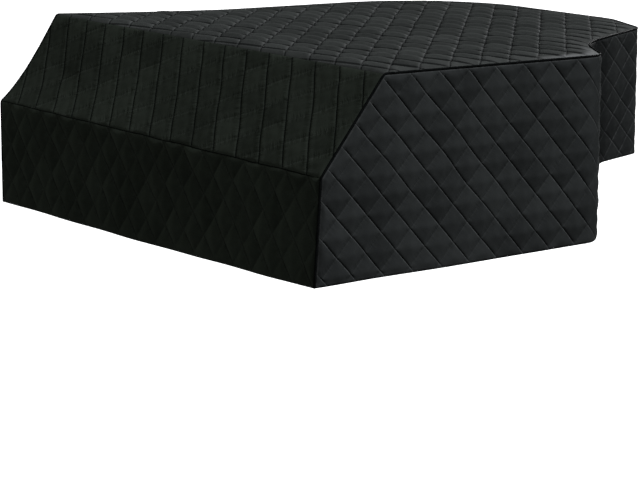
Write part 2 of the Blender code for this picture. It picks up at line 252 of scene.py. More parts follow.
def slope_sag(x, share):
    along = np.clip(share, 0.0, 1.0) ** SAG_SKEW
    return LEFT_SAG * ((HALF_WIDTH - x) / (2.0 * HALF_WIDTH)) ** 2 * np.sin(np.pi * along)


def profile(side, inset, steps=24):
    """The slope's edge over a side wall as (Y, Z) points, set in by a distance."""
    x = side * HALF_WIDTH
    angle = math.atan2(fold_z(x) - crease_z(x), FOLD_DEPTH)
    up_slope = np.array([math.cos(angle), math.sin(angle)])
    inward = np.array([math.sin(angle), -math.cos(angle)])
    crease = np.array([FRONT_Y, crease_z(x)])
    fold = np.array([FOLD_Y, fold_z(x)])
    first = crease + inward * inset + up_slope * inset * math.tan((math.pi / 2.0 - angle) / 2.0)
    last = fold + inward * inset - up_slope * inset * math.tan(angle / 2.0)
    share = np.linspace(0.0, 1.0, steps + 1)[:, None]
    return first + (last - first) * share + inward * slope_sag(x, share)


# Smooth random heights and soft creases.

def waves(points, length, seed, terms=9):
    """Smooth random values between about -1 and 1, with bumps about one length across."""
    chance = np.random.default_rng(seed)
    total = np.zeros(len(points))
    for _ in range(terms):
        angle, phase, stretch = chance.uniform((0.0, 0.0, 0.6), (2.0 * np.pi, 2.0 * np.pi, 1.3))
        along = points[:, 0] * math.cos(angle) + points[:, 1] * math.sin(angle)
        total += np.sin(along * 2.0 * np.pi * stretch / length + phase)
    return total / math.sqrt(2.0 * terms)


def smooth_step(value, low, high):
    share = np.clip((value - low) / (high - low), 0.0, 1.0)
    return share * share * (3.0 - 2.0 * share)


def distance_to_path(points, path):
    """Distance of each point to the nearest segment of a path."""
    nearest = np.full(len(points), np.inf)
    for start, end in zip(path[:-1], path[1:]):
        along = end - start
        share = np.clip((points - start) @ along / (along @ along), 0.0, 1.0)
        away = points - start - share[:, None] * along
        nearest = np.minimum(nearest, np.einsum("ij,ij->i", away, away))
    return np.sqrt(nearest)


def soft_crease(points, path, width, height):
    """A soft ridge (or trough, below zero) along a path that dies away at both ends."""
    path = np.array(path, float)
    lengths = np.concatenate([[0.0], np.cumsum(np.linalg.norm(np.diff(path, axis=0), axis=1))])
    nearest = np.full(len(points), np.inf)
    place = np.zeros(len(points))
    for start, end, before in zip(path[:-1], path[1:], lengths):
        along = end - start
        share = np.clip((points - start) @ along / (along @ along), 0.0, 1.0)
        away = np.linalg.norm(points - start - share[:, None] * along, axis=1)
        closer = away < nearest
        nearest = np.where(closer, away, nearest)
        place = np.where(closer, before + share * np.linalg.norm(along), place)
    ends = np.sin(np.pi * np.clip(place / lengths[-1], 0.0, 1.0)) ** 0.7
    return height * np.exp(-((nearest / width) ** 2)) * ends


# Placing panel points in space.

def fold_rounding(x, q):
    """Move in Y and Z, and normal, of a point a signed length q past the rounded top fold."""
    angle = np.arctan2(fold_z(x) - crease_z(x), FOLD_DEPTH)
    reach = FOLD_RADIUS * np.tan(angle / 2.0)
    turn = angle / 2.0 * (1.0 - np.clip(q / reach, -1.0, 1.0))
    normal_y, normal_z = -np.sin(turn), np.cos(turn)
    centre_back = FOLD_RADIUS / np.cos(angle / 2.0)
    centre_y = FOLD_Y + centre_back * np.sin(angle / 2.0)
    centre_z = fold_z(x) - centre_back * np.cos(angle / 2.0)
    ahead = np.where(q > 0.0, q, 0.0)
    behind = np.where(q < 0.0, -q, 0.0)
    plain_y = FOLD_Y + ahead - behind * np.cos(angle)
    plain_z = fold_z(x) - behind * np.sin(angle)
    near = np.abs(q) < reach
    move_y = np.where(near, centre_y + FOLD_RADIUS * normal_y - plain_y, 0.0)
    move_z = np.where(near, centre_z + FOLD_RADIUS * normal_z - plain_z, 0.0)
    return move_y, move_z, normal_y, normal_z


def crease_wave(x):
    """Height by which the seam between slope and front wanders."""
    ends = smooth_step(HALF_WIDTH - np.abs(x), 0.0, 0.06)
    flat = np.stack([x, np.zeros_like(x)], axis=1)
    return ends * (0.0009 * waves(flat, 0.16, 3) + 0.0003 * waves(flat, 0.05, 4))


def place_top(points, outward):
    x, y = points[:, 0], points[:, 1]
    move_y, move_z, normal_y, normal_z = fold_rounding(x, y - FOLD_Y)
    z = CLOTH + lift(x, y) + move_z + normal_z * outward
    return np.stack([x, y + move_y + normal_y * outward, z], axis=1)


def place_slope(points, outward):
    x, v = points[:, 0], points[:, 1]
    share = v / SLOPE_LENGTH
    rise = fold_z(x) - crease_z(x)
    move_y, move_z, normal_y, normal_z = fold_rounding(x, v - SLOPE_LENGTH)
    sag = slope_sag(x, share)
    y = FRONT_Y + FOLD_DEPTH * share + move_y + normal_y * (outward - sag)
    z = crease_z(x) + rise * share + move_z + normal_z * (outward - sag)
    return np.stack([x, y, z + crease_wave(x) * np.exp(-v / 0.025)], axis=1)


def place_front(points, outward):
    x, z = points[:, 0], points[:, 1]
    below = np.maximum(crease_z(x) - z, 0.0)
    y = FRONT_Y - outward - flare(x, z)
    return np.stack([x, y, z + crease_wave(x) * np.exp(-below / 0.025)], axis=1)


def place_wall(points, outward):
    flat, normals = plan_at(points[:, 0])
    flat = flat + normals * outward[:, None]
    return np.column_stack([flat, points[:, 1]])


# How each panel sways between its seams, with the folds seen in it.

def sway_top(points):
    edge = smooth_step(points[:, 1] - FOLD_Y, 0.0, 0.10)
    return edge * 0.0012 * waves(points, 0.30, 11)


SLOPE_FOLDS = (
    (((0.655, 0.004), (0.700, 0.016), (0.738, 0.020)), 0.006, -0.0016),
    (((0.660, 0.022), (0.705, 0.034), (0.742, 0.050)), 0.008, 0.0013),
    (((0.560, 0.262), (0.640, 0.240), (0.712, 0.228)), 0.012, -0.0016),
    (((-0.700, 0.040), (-0.560, 0.120), (-0.400, 0.170)), 0.030, -0.0022),
    (((-0.640, 0.190), (-0.500, 0.150), (-0.350, 0.080)), 0.026, 0.0018),
)
FRONT_FOLDS = (
    (((0.668, -0.228), (0.708, -0.244), (0.738, -0.268)), 0.006, -0.0014),
    (((-0.500, -0.240), (-0.470, -0.360), (-0.480, -0.480)), 0.035, 0.0022),
    (((0.250, -0.250), (0.300, -0.360), (0.290, -0.475)), 0.040, -0.0024),
)
WALL_FOLDS = (
    (((0.185, -0.012), (0.215, -0.040), (0.262, -0.058)), 0.008, -0.0018),
    (((0.120, -0.300), (0.180, -0.380), (0.200, -0.455)), 0.030, 0.0018),
    (((0.560, -0.230), (0.600, -0.340), (0.590, -0.450)), 0.036, -0.0020),
    (((1.700, -0.080), (1.760, -0.200), (1.750, -0.330)), 0.040, 0.0030),
    (((2.150, -0.080), (2.180, -0.200), (2.240, -0.330)), 0.045, -0.0034),
    (((2.550, -0.060), (2.600, -0.190), (2.580, -0.330)), 0.040, 0.0030),
    (((3.150, -0.120), (3.190, -0.280), (3.160, -0.420)), 0.045, -0.0030),
    (((3.560, -0.160), (3.540, -0.320), (3.580, -0.470)), 0.040, 0.0028),
)


def hand_folds(points, folds):
    total = np.zeros(len(points))
    for path, width, height in folds:
        total += soft_crease(points, np.array(path), width, height)
    return total


def sway_slope(points):
    x, v = points[:, 0], points[:, 1]
    inside = smooth_step(v, 0.0, 0.05) * smooth_step(SLOPE_LENGTH - v, 0.0, 0.05)
    inside = inside * smooth_step(HALF_WIDTH - np.abs(x), 0.0, 0.08)
    return inside * 0.0022 * waves(points, 0.22, 12) + hand_folds(points, SLOPE_FOLDS)


def sway_front(points):
    x, z = points[:, 0], points[:, 1]
    inside = smooth_step(crease_z(x) - z, 0.0, 0.10) * smooth_step(HALF_WIDTH - np.abs(x), 0.0, 0.16)
    return inside * 0.0030 * waves(points, 0.34, 13) + hand_folds(points, FRONT_FOLDS)


def sway_wall(points):
    s, z = points[:, 0], points[:, 1]
    inside = smooth_step(-z, 0.0, 0.14) * smooth_step(s, 0.0, 0.16)
    inside = inside * smooth_step(PLAN_LENGTH - s, 0.0, 0.16)
    for index in (1, 5):
        middle = PLAN_PIECES[index][1] + PLAN_PIECES[index][5] / 2.0
        inside = inside * smooth_step(np.abs(s - middle), 0.02, 0.16)
    return inside * 0.0030 * waves(points, 0.36, 14) + hand_folds(points, WALL_FOLDS)


def not_flattened(points):
    return np.ones(len(points))


def round_corners(points):
    """Share of the loft that is left where the wall is drawn round a tight corner."""
    s = points[:, 0]
    left = np.ones(len(points))
    for index in (1, 5):
        middle = PLAN_PIECES[index][1] + PLAN_PIECES[index][5] / 2.0
        left = np.minimum(left, 0.30 + 0.70 * smooth_step(np.abs(s - middle), 0.012, 0.055))
    return left


# Quilted sheets.

def polygon_area(outline):
    x, y = outline[:, 0], outline[:, 1]
    return 0.5 * float(np.sum(x * np.roll(y, -1) - np.roll(x, -1) * y))


def sampled(outline, spacing):
    """A closed outline with points at most a spacing apart, corners kept."""
    points = []
    for start, end in zip(outline, np.roll(outline, -1, axis=0)):
        steps = max(1, math.ceil(np.linalg.norm(end - start) / spacing))
        share = np.arange(steps)[:, None] / steps
        points.append(start + (end - start) * share)
    return np.concatenate(points)


def set_in(outline, distance):
    """Outline points moved inward by a distance, without those that end up too near an edge."""
    before = outline - np.roll(outline, 1, axis=0)
    after = np.roll(outline, -1, axis=0) - outline
    before /= np.linalg.norm(before, axis=1)[:, None]
    after /= np.linalg.norm(after, axis=1)[:, None]
    inward = np.stack([-before[:, 1] - after[:, 1], before[:, 0] + after[:, 0]], axis=1)
    inward /= np.linalg.norm(inward, axis=1)[:, None]
    normal = np.stack([-after[:, 1], after[:, 0]], axis=1)
    points = outline + inward * (distance / np.einsum("ij,ij->i", inward, normal))[:, None]
    clear = distance_to_path(points, np.vstack([outline, outline[:1]])) > 0.97 * distance
    return points[clear]


def inside_outline(points, outline):
    inside = np.zeros(len(points), bool)
    for (x0, y0), (x1, y1) in zip(outline, np.roll(outline, -1, axis=0)):
        if y0 == y1:
            continue
        crosses = (points[:, 1] < y0) != (points[:, 1] < y1)
        inside ^= crosses & (points[:, 0] < x0 + (points[:, 1] - y0) * (x1 - x0) / (y1 - y0))
    return inside


def stitch_matrix(name):
    """Matrix and shift that turn a panel point into two numbers, whole on the stitch lines."""
    angle1, spacing1, shift1, angle2, spacing2, shift2 = QUILTING[name]
    rows, shifts = [], []
    for angle, spacing, shift in ((angle1, spacing1, shift1), (angle2, spacing2, shift2)):
        turn = math.radians(angle)
        rows.append((-math.sin(turn) / spacing, math.cos(turn) / spacing))
        shifts.append(shift / spacing)
    return np.array(rows), np.array(shifts)


def lattice_points(name, outline, margin):
    """Points of a panel that follow its stitch lines, at least a margin inside its outline."""
    matrix, shift = stitch_matrix(name)
    numbers = outline @ matrix.T - shift
    axes = []
    for low, high, half in zip(numbers.min(axis=0), numbers.max(axis=0), HALF_STEPS):
        whole = np.arange(math.floor(low), math.ceil(high) + 1)
        steps = np.array(half + tuple(1.0 - step for step in half[-2:0:-1]))
        axes.append((whole[:, None] + steps).ravel())
    first, second = np.meshgrid(*axes, indexing="ij")
    numbers = np.stack([first.ravel(), second.ravel()], axis=1) + shift
    points = numbers @ np.linalg.inv(matrix).T
    low, high = outline.min(axis=0), outline.max(axis=0)
    points = points[np.all((points > low) & (points < high), axis=1)]
    points = points[inside_outline(points, outline)]
    return points[distance_to_path(points, np.vstack([outline, outline[:1]])) > margin]


def square_points(outline, spacing, margin):
    low, high = outline.min(axis=0), outline.max(axis=0)
    columns = np.arange(low[0] + spacing / 2.0, high[0], spacing)
    rows = np.arange(low[1] + spacing / 2.0, high[1], spacing)
    first, second = np.meshgrid(columns, rows, indexing="ij")
    points = np.stack([first.ravel(), second.ravel()], axis=1)
    points = points[inside_outline(points, outline)]
    return points[distance_to_path(points, np.vstack([outline, outline[:1]])) > margin]


def filled(outline, extra):
    """Triangles over an outline and the points inside it; the outline's points come first.

    A triangle between outline points alone is a sliver outside a straight edge, and is left out.
    """
    points = np.vstack([outline] + extra)
    count = len(outline)
    edges = [(index, (index + 1) % count) for index in range(count)]
    verts, _, faces, sources, _, _ = delaunay_2d_cdt(
        [Vector(point) for point in points], edges, [], 1, 1e-7, True
    )
    first = np.array([min(source) if source else len(points) for source in sources])
    order = np.argsort(first, kind="stable")
    place = np.empty(len(order), int)
    place[order] = np.arange(len(order))
    if list(first[order[:count]]) != list(range(count)):
        raise ValueError("a point of the outline was merged or dropped")
    verts = np.array([tuple(vert) for vert in verts])[order]
    faces = place[np.array(faces)]
    return verts, [tuple(face) for face in faces[faces.max(axis=1) >= count].tolist()]


def relief(name, points, seed, seam, fold):
    """Height of the quilting over its stitch lines, and the two stitch numbers."""
    loft, depth, reach, second, seam_reach, left, steep = RELIEF[name]
    matrix, shift = stitch_matrix(name)
    numbers = points @ matrix.T - shift
    middle = 1.0 - np.abs(2.0 * (numbers - np.floor(numbers)) - 1.0)
    sides = [left + steep * middle[:, 0], middle[:, 1], seam / seam_reach, fold / FOLD_FLAT]
    sides = np.column_stack(sides)
    pyramid = np.sum(np.maximum(sides, 1e-4) ** -PYRAMID_POWER, axis=1) ** (-1.0 / PYRAMID_POWER)
    off_lines = middle * np.array(QUILTING[name])[[1, 4]] / 2.0
    grooves = 1.0 - np.exp(-((off_lines / reach) ** 1.4))
    raised = grooves[:, 0] * (1.0 - second * (1.0 - grooves[:, 1]))
    raised = raised * (0.55 + 0.45 * smooth_step(middle[:, 1], 0.0, 0.5))
    raised = raised * (1.0 - np.exp(-((seam / (seam_reach * SEAM_SHARE)) ** 1.4)))
    raised = raised * smooth_step(fold, 0.0, FOLD_FLAT)
    cell = np.floor(numbers)
    chance = np.abs(np.sin(cell[:, 0] * 12.9898 + cell[:, 1] * 78.233 + seed)) * 43758.5453
    loft = loft * (1.0 - LOFT_CHANGE * (chance - np.floor(chance)))
    return loft * pyramid + depth * raised, numbers


def rim_drop(distance, radius):
    """Depth by which a rounded rim falls off near its edge."""
    inside = np.clip(radius - distance, 0.0, radius)
    return radius - np.sqrt(np.maximum(radius * radius - inside * inside, 0.0))


def sheet_points(name, panel, points, outer):
    """Places a sheet's outer or inner points; also their stitch numbers, hem and seam distance."""
    hems = [distance_to_path(points, path) for path in panel["hems"]]
    seams = [distance_to_path(points, path) for path in panel["seams"]]
    folds = [distance_to_path(points, path) for path in panel["folds"]]
    hem = np.minimum.reduce(hems + [np.full(len(points), 9.0)])
    seam = np.minimum.reduce(seams + [np.full(len(points), 9.0)])
    fold = np.minimum.reduce(folds + [np.full(len(points), 9.0)])
    rounded = rim_drop(np.minimum(hem, seam), RIM_RADIUS - RIM_FLAT)
    edge = np.minimum(np.minimum(hem, seam), fold)
    sway = panel["sway"](points) * smooth_step(seam, 0.0, panel["calm"])
    wander = np.stack([waves(points, 0.16, panel["seed"]), waves(points, 0.16, panel["seed"] + 1)], axis=1)
    free = smooth_step(edge, 0.0, 0.05)[:, None]
    moved = points + 0.0013 * wander * free
    height, numbers = relief(name, points, panel["seed"], np.minimum(hem, seam), fold)
    if outer:
        pucker = 0.00035 * waves(points, 0.016, panel["seed"] + 2) * np.exp(-edge / 0.018)
        pucker = pucker * smooth_step(edge, 0.0, 0.004) * smooth_step(fold, 0.0, 0.03)
        band = HEM_STEP * smooth_step(HEM_WIDTH + 0.0009 - hem, 0.0, 0.0012)
        outward = height * panel["flatten"](points) + pucker + band - rounded + sway
        placed = panel["place"](moved, outward)
    else:
        placed = panel["place"](moved, sway - CLOTH + rounded)
    return placed, numbers, hem, seam


def sheet_object(name, panel, looks):
    """A closed sheet: quilted outside, plain lining inside, rounded rim."""
    outline = sampled(panel["outline"], OUTLINE_SPACING)
    outer_extra = [set_in(outline, distance) for distance in OUTER_RINGS]
    outer_extra.append(lattice_points(name, outline, OUTER_RINGS[-1] + 0.0015))
    outer_flat, outer_faces = filled(outline, outer_extra)
    inner_extra = [set_in(outline, distance) for distance in INNER_RINGS]
    inner_extra.append(square_points(outline, INNER_SPACING, 0.006))
    inner_flat, inner_faces = filled(outline, inner_extra)
    outer = sheet_points(name, panel, outer_flat, True)
    inner = sheet_points(name, panel, inner_flat, False)

    count, offset = len(outline), len(outer_flat)
    faces = list(outer_faces)
    faces.extend(tuple(index + offset for index in face[::-1]) for face in inner_faces)
    for index in range(count):
        beside = (index + 1) % count
        faces.append((beside, index, offset + index, offset + beside))
    verts = np.vstack([outer[0], inner[0]])
    data = bpy.data.meshes.new(name)
    data.from_pydata(verts.tolist(), [], faces)

    corners = np.zeros(len(data.loops), np.int32)
    data.loops.foreach_get("vertex_index", corners)
    numbers = np.vstack([outer[1], inner[1]])
    flat = np.vstack([outer_flat, inner_flat])
    for label, values in (("cloth", flat), ("stitch", numbers)):
        layer = data.uv_layers.new(name=label)
        layer.data.foreach_set("uv", values[corners].ravel())
    for label, column in (("hem", 2), ("seam", 3)):
        values = np.concatenate([outer[column], inner[column]])
        layer = data.attributes.new(label, "FLOAT", "POINT")
        layer.data.foreach_set("value", values)

    lined = np.zeros(len(data.polygons), np.int32)
    lined[len(outer_faces):len(outer_faces) + len(inner_faces)] = 1
    for look in looks:
        data.materials.append(look)
    data.polygons.foreach_set("material_index", lined)
    data.polygons.foreach_set("use_smooth", np.ones(len(data.polygons), bool))
    if panel["folds"]:
        mark_sharp(data, panel, outline, offset)
    data.validate()
    data.update()
    made = bpy.data.objects.new(name, data)
    bpy.context.scene.collection.objects.link(made)
    return made, abs(polygon_area(outline)), np.ptp(outline, axis=0)


def mark_sharp(data, panel, outline, offset):
    """Keeps the shading of a sheet and its rim apart where it runs on over a fold."""
    near = np.full(len(outline), np.inf)
    for path in panel["folds"]:
        near = np.minimum(near, distance_to_path(outline, path))
    on_fold = set(np.nonzero(near < 0.0005)[0].tolist())
    for edge in data.edges:
        first, second = (index - offset if index >= offset else index for index in edge.vertices)
        same_side = (edge.vertices[0] < offset) == (edge.vertices[1] < offset)
        if same_side and first in on_fold and second in on_fold:
            if abs(first - second) in (1, len(outline) - 1):
                edge.use_edge_sharp = True


# The panels.

def plan_inside(inset, front, spacing=0.004):
    """Points of the plan behind a depth, set in by a distance."""
    lengths = [0.0]
    ends = [piece[1] for piece in PLAN_PIECES[1:]] + [PLAN_LENGTH]
    for piece, end in zip(PLAN_PIECES, ends):
        if piece[0] == "arc":
            steps = math.ceil((end - piece[1]) / spacing)
            lengths.extend(np.linspace(piece[1], end, steps + 1).tolist())
        elif end == PLAN_LENGTH:
            lengths.extend(np.arange(piece[1], end, 0.03).tolist())
    points, normals = plan_at(sorted(set(lengths)) + [PLAN_LENGTH])
    points = points - normals * inset
    return points[points[:, 1] > front]


def top_parts():
    front = FOLD_Y + SEAM_HALF
    right = np.array([[side_x(1.0, front) - PANEL_INSET, front]])
    left = np.array([[side_x(-1.0, front) + PANEL_INSET, front]])
    around = np.vstack([right, plan_inside(PANEL_INSET, front), left])
    return {
        "outline": around, "hems": [], "seams": [around], "folds": [np.vstack([left, right])],
        "place": place_top, "calm": 0.060, "sway": sway_top, "flatten": not_flattened, "seed": 21,
    }


def slope_parts():
    low, high = SEAM_HALF, SLOPE_LENGTH - SEAM_HALF
    outline = np.array([
        (side_x(side, y) - side * PANEL_INSET, v)
        for side, y, v in ((-1, FRONT_Y, low), (1, FRONT_Y, low), (1, FOLD_Y, high), (-1, FOLD_Y, high))
    ])
    return {
        "outline": outline, "hems": [], "seams": [outline[[3, 0, 1, 2]]], "folds": [outline[2:]],
        "place": place_slope, "calm": 0.010, "sway": sway_slope, "flatten": not_flattened, "seed": 31,
    }


def front_parts():
    side = HALF_WIDTH - PANEL_INSET
    x = np.linspace(-side, side, 61)
    hem = np.stack([x, front_hem(x)], axis=1)
    upper = np.array([(side, crease_z(side) - SEAM_HALF), (-side, crease_z(-side) - SEAM_HALF)])
    outline = np.vstack([hem, upper])
    return {
        "outline": outline, "hems": [hem], "seams": [np.vstack([hem[-1:], upper, hem[:1]])],
        "folds": [], "place": place_front, "calm": 0.010, "sway": sway_front,
        "flatten": not_flattened, "seed": 41,
    }


def hem_points(start, end):
    lengths = np.linspace(end, start, max(2, math.ceil((end - start) / 0.02)))
    return np.stack([lengths, hem_height(lengths)], axis=1)


def wall_parts(upper, start, end, seed):
    hem = hem_points(start, end)
    outline = np.vstack([upper, hem])[::-1]
    seams = np.vstack([hem[-1:], upper, hem[:1]])
    return {
        "outline": outline, "hems": [hem], "seams": [seams], "folds": [],
        "place": place_wall, "calm": 0.010, "sway": sway_wall, "flatten": round_corners, "seed": seed,
    }


def right_parts():
    slanted = profile(1.0, WALL_DROP)
    upper = [(y - FRONT_Y, z) for y, z in slanted] + [(TIP_SEAM - SEAM_HALF, WALL_TOP)]
    return wall_parts(np.array(upper), WALL_DROP - CORNER_FLARE, TIP_SEAM - SEAM_HALF, 51)


def curved_parts():
    start, end = TIP_SEAM + SEAM_HALF, TAIL_SEAM - SEAM_HALF
    return wall_parts(np.array([(start, WALL_TOP), (end, WALL_TOP)]), start, end, 61)


def tail_parts():
    start, end = TAIL_SEAM + SEAM_HALF, LEFT_SEAM - SEAM_HALF
    return wall_parts(np.array([(start, WALL_TOP), (end, WALL_TOP)]), start, end, 71)


def left_parts():
    start, end = LEFT_SEAM + SEAM_HALF, PLAN_LENGTH - WALL_DROP
    slanted = profile(-1.0, WALL_DROP)[::-1]
    lengths = np.arange(start, PLAN_LENGTH - FOLD_DEPTH - 0.01, 0.03)
    places = plan_at(lengths)[0]
    level = np.stack([lengths, WALL_TOP + lift(places[:, 0], places[:, 1])], axis=1)
    down = np.stack([PLAN_LENGTH - (slanted[:, 0] - FRONT_Y), slanted[:, 1]], axis=1)
    return wall_parts(np.vstack([level, down]), start, end, 81)


PANELS = {
    "top_panel": top_parts(),
    "slope_panel": slope_parts(),
    "front_skirt": front_parts(),
    "right_skirt": right_parts(),
    "curved_skirt": curved_parts(),
    "tail_skirt": tail_parts(),
    "left_skirt": left_parts(),
}


# The piping.

PIPING_SIDES = 18
CORD_RADIUS = 0.0027
CORD_DROP = 0.0004
PIPING_STEP = 0.003


def piping_path():
    """Centre line of the piping: right front corner, slope's edge, plan, and down the left."""
    edges = []
    for side, hem, ahead in ((1.0, HEM[0][1], CORNER_FLARE), (-1.0, HEM[-1][1], 0.0)):
        foot = np.array([[FRONT_Y + CORD_DROP - ahead, hem - INNER_TOP_HEIGHT]])
        route = np.vstack([foot, profile(side, CORD_DROP)])
        x = np.array([side_x(side, y) - side * PIPING_INSET for y in route[:, 0]])
        edges.append(np.column_stack([x, route]))
    around = plan_inside(PIPING_INSET, FOLD_Y)
    around = np.column_stack([around, CLOTH - CORD_DROP + lift(around[:, 0], around[:, 1])])
    return np.vstack([edges[0], around, edges[1][::-1]])


def evened(path, step):
    lengths = np.concatenate([[0.0], np.cumsum(np.linalg.norm(np.diff(path, axis=0), axis=1))])
    even = np.linspace(0.0, lengths[-1], math.ceil(lengths[-1] / step) + 1)
    return np.stack([np.interp(even, lengths, path[:, axis]) for axis in range(3)], axis=1)


def softened(path, rounds):
    """A path with its bends eased, its ends kept."""
    for _ in range(rounds):
        middle = (path[:-2] + 2.0 * path[1:-1] + path[2:]) / 4.0
        path = np.vstack([path[:1], middle, path[-1:]])
    return path


def piping_object(look):
    path = softened(evened(piping_path(), PIPING_STEP), 4)
    count = len(path)
    ends = np.minimum(np.arange(count), np.arange(count)[::-1]) * PIPING_STEP
    free = smooth_step(ends, 0.0, 0.05)[:, None]
    steps = np.column_stack([np.arange(count) * PIPING_STEP, np.zeros(count)])
    wobble = np.column_stack([waves(steps, 0.07, 91), waves(steps, 0.07, 92), waves(steps, 0.07, 93)])
    path = path + 0.00012 * wobble * free
    radii = CORD_RADIUS * (1.0 + 0.02 * waves(steps, 0.03, 94))
    radii[0] = radii[-1] = CORD_RADIUS * 0.55
    verts, uvs, faces = [], [], []
    across = Vector((1.0, 0.0, 0.0))
    for index in range(count):
        before = Vector(path[max(index - 1, 0)])
        after = Vector(path[min(index + 1, count - 1)])
        along = (after - before).normalized()
        across = (across - along * across.dot(along)).normalized()
        up = along.cross(across)
        for side in range(PIPING_SIDES):
            angle = 2.0 * math.pi * side / PIPING_SIDES
            offset = across * math.cos(angle) + up * math.sin(angle)
            verts.append(Vector(path[index]) + offset * radii[index])
    for index in range(count - 1):
        for side in range(PIPING_SIDES):
            beside = (side + 1) % PIPING_SIDES
            near, far = index * PIPING_SIDES, (index + 1) * PIPING_SIDES
            faces.append((near + side, near + beside, far + beside, far + side))
            low, high = side / PIPING_SIDES, (side + 1) / PIPING_SIDES
            start, end = index * PIPING_STEP, (index + 1) * PIPING_STEP
            uvs.extend(((start, low), (start, high), (end, high), (end, low)))
    faces.append(tuple(range(PIPING_SIDES))[::-1])
    faces.append(tuple(range((count - 1) * PIPING_SIDES, count * PIPING_SIDES)))
    uvs.extend([(0.0, 0.0)] * (2 * PIPING_SIDES))
    data = bpy.data.meshes.new("piping")
    data.from_pydata([tuple(vert) for vert in verts], [], faces)
    layer = data.uv_layers.new(name="cloth")
    layer.data.foreach_set("uv", np.array(uvs).ravel())
    data.polygons.foreach_set("use_smooth", np.ones(len(data.polygons), bool))
    data.materials.append(look)
    data.update()
    made = bpy.data.objects.new("piping_cord", data)
    bpy.context.scene.collection.objects.link(made)
    return made


# Materials.

class Nodes:
    """Small helper that adds linked shader nodes to a material."""

    def __init__(self, name):
        self.material = bpy.data.materials.new(name)
        self.material.use_nodes = True
        self.tree = self.material.node_tree
        self.shader = self.tree.nodes["Principled BSDF"]

    def add(self, kind, settings=(), **inputs):
        node = self.tree.nodes.new(kind)
        for label, value in dict(settings).items():
            setattr(node, label, value)
        for label, value in inputs.items():
            self.feed(node.inputs[label.replace("_", " ")], value)
        return node

    def feed(self, socket, value):
        if isinstance(value, bpy.types.NodeSocket):
            self.tree.links.new(value, socket)
        else:
            socket.default_value = value

    def math(self, operation, first, second=0.0, third=0.0, clamp=False):
        node = self.tree.nodes.new("ShaderNodeMath")
        node.operation = operation
        node.use_clamp = clamp
        for socket, value in zip(node.inputs, (first, second, third)):
            self.feed(socket, value)
        return node.outputs[0]

    def ramp(self, value, low, high, start=0.0, end=1.0):
        node = self.tree.nodes.new("ShaderNodeMapRange")
        node.interpolation_type = "SMOOTHSTEP"
        for label, item in (("Value", value), ("From Min", low), ("From Max", high), ("To Min", start), ("To Max", end)):
            self.feed(node.inputs[label], item)
        return node.outputs["Result"]

    def noise(self, vector, scale, detail=2.0, roughness=0.5):
        node = self.add("ShaderNodeTexNoise", Vector=vector, Scale=scale, Detail=detail, Roughness=roughness)
        return node.outputs[0]

    def uv(self, name):
        return self.add("ShaderNodeUVMap", {"uv_map": name}).outputs[0]

    def split(self, vector):
        node = self.add("ShaderNodeSeparateXYZ", Vector=vector)
        return node.outputs[0], node.outputs[1]

    def join(self, x, y):
        return self.add("ShaderNodeCombineXYZ", X=x, Y=y).outputs[0]

    def attribute(self, name):
        return self.add("ShaderNodeAttribute", {"attribute_name": name}).outputs["Fac"]

    def mix_color(self, share, first, second):
        node = self.tree.nodes.new("ShaderNodeMix")
        node.data_type = "RGBA"
        self.feed(node.inputs["Factor"], share)
        self.feed(node.inputs["A"], first)
        self.feed(node.inputs["B"], second)
        for socket in node.inputs:
            if socket.type == "RGBA":
                self.feed(socket, first if socket.name == "A" else second)
        return next(socket for socket in node.outputs if socket.type == "RGBA")

    def bump(self, height, distance, strength=1.0, normal=None):
        node = self.add("ShaderNodeBump", Height=height, Distance=distance, Strength=strength)
        if normal is not None:
            self.feed(node.inputs["Normal"], normal)
        return node.outputs[0]


THREAD_COLOR = (0.0048, 0.0052, 0.0051, 1.0)
# Painted shade: colour laid into the stitch lines' grooves and into the seam, where shade falls.
PAINTED_SHADE_COLOR = (0.0010, 0.0011, 0.0011, 1.0)
# Painted highlight: colour laid on the rims beside the stitch lines, where they catch light.
RIM_HIGHLIGHT_COLOR = (0.0165, 0.0171, 0.0169, 1.0)
# Painted highlight: colour of the light caught by the rolled cloth beside the seams.
SEAM_HIGHLIGHT_COLOR = (0.0110, 0.0115, 0.0114, 1.0)
# Painted shadow: colour of the shade on the curved wall by the notch behind the tip.
NOTCH_SHADOW_COLOR = (0.0012, 0.0013, 0.0013, 1.0)
# Painted highlight: colour of the light caught by the top's edge near the tip.
LIP_HIGHLIGHT_COLOR = (0.0230, 0.0236, 0.0236, 1.0)
STITCHES_PER_CELL = 17.0
THREAD_HALF = 0.009
GROOVE_HALF = 0.024
RIM_HIGHLIGHT_BAND = (0.014, 0.036, 0.072)
SEAM_SHADOW = 0.0017

